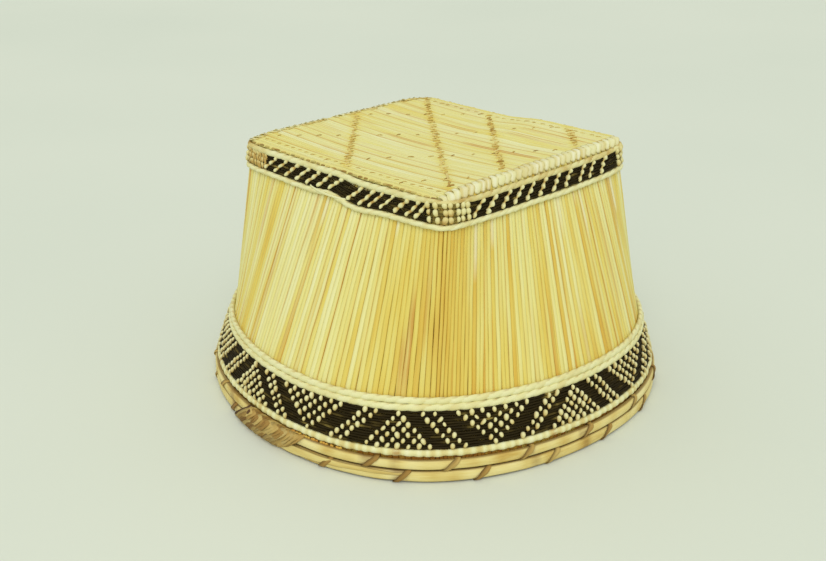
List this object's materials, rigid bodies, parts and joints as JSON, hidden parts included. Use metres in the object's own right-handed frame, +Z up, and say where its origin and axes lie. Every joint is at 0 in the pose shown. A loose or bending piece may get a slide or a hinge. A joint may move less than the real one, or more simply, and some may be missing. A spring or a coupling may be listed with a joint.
{
  "type": "square-based straw basket",
  "caption": "Rigid straw basket with a rectangular base, flaring straw walls, black patterned twined bands and a lashed cane rim round a wide, almost round mouth; stands mouth down.",
  "frame": {"origin": "on the floor under the middle of the rim, at the bottom centre of the bounding box", "axes": "+Z up, from the mouth on the floor to the base on top; the base's long sides lie along X and its short sides along Y"},
  "size_m": [0.4058, 0.4057, 0.222],
  "materials": {
    "straw": "satin pale straw",
    "inner_straw": "satin deeper straw",
    "pale_cord": "matte twisted plant fibre",
    "black_strand": "satin dyed plant fibre",
    "cane": "satin split cane",
    "bark": "matte bark strip",
    "stitching": "matte plant fibre"
  },
  "bodies": {
    "root": {"right_wall_straws_1": "straw", "right_wall_straws_2": "straw", "right_wall_straws_3": "straw", "right_wall_straws_4": "straw", "back_wall_straws_1": "straw", "back_wall_straws_2": "straw", "back_wall_straws_3": "straw", "back_wall_straws_4": "straw", "left_wall_straws_1": "straw", "left_wall_straws_2": "straw", "left_wall_straws_3": "straw", "left_wall_straws_4": "straw", "front_wall_straws_1": "straw", "front_wall_straws_2": "straw", "front_wall_straws_3": "straw", "front_wall_straws_4": "straw", "base_outer_straws_1": "straw", "base_outer_straws_2": "straw", "base_outer_straws_3": "straw", "base_outer_straws_4": "straw", "base_inner_straws_1": "inner_straw", "base_inner_straws_2": "inner_straw", "base_inner_straws_3": "inner_straw", "base_inner_straws_4": "inner_straw", "edge_cord": "pale_cord", "top_band_cord": "pale_cord", "band_upper_cord": "pale_cord", "band_lower_cord": "pale_cord", "beaded_row": "pale_cord", "top_band_strand_1": "black_strand", "top_band_strand_2": "black_strand", "top_band_strand_3": "black_strand", "band_strand_1": "black_strand", "band_strand_2": "black_strand", "band_strand_3": "black_strand", "band_strand_4": "black_strand", "band_strand_5": "black_strand", "band_strand_6": "black_strand", "band_strand_7": "black_strand", "upper_rim_hoop": "cane", "lower_rim_hoop": "cane", "inner_rim_hoop": "cane", "upper_rim_lashing": "bark", "lower_rim_lashing": "bark", "rim_splice_wrapping": "bark", "base_stitching_1": "stitching", "base_stitching_2": "stitching", "base_stitching_3": "stitching", "base_stitching_4": "stitching", "right_edge_stitching": "stitching", "left_edge_stitching": "stitching", "front_edge_stitching": "stitching", "back_edge_stitching": "stitching"}
  },
  "joints": []
}
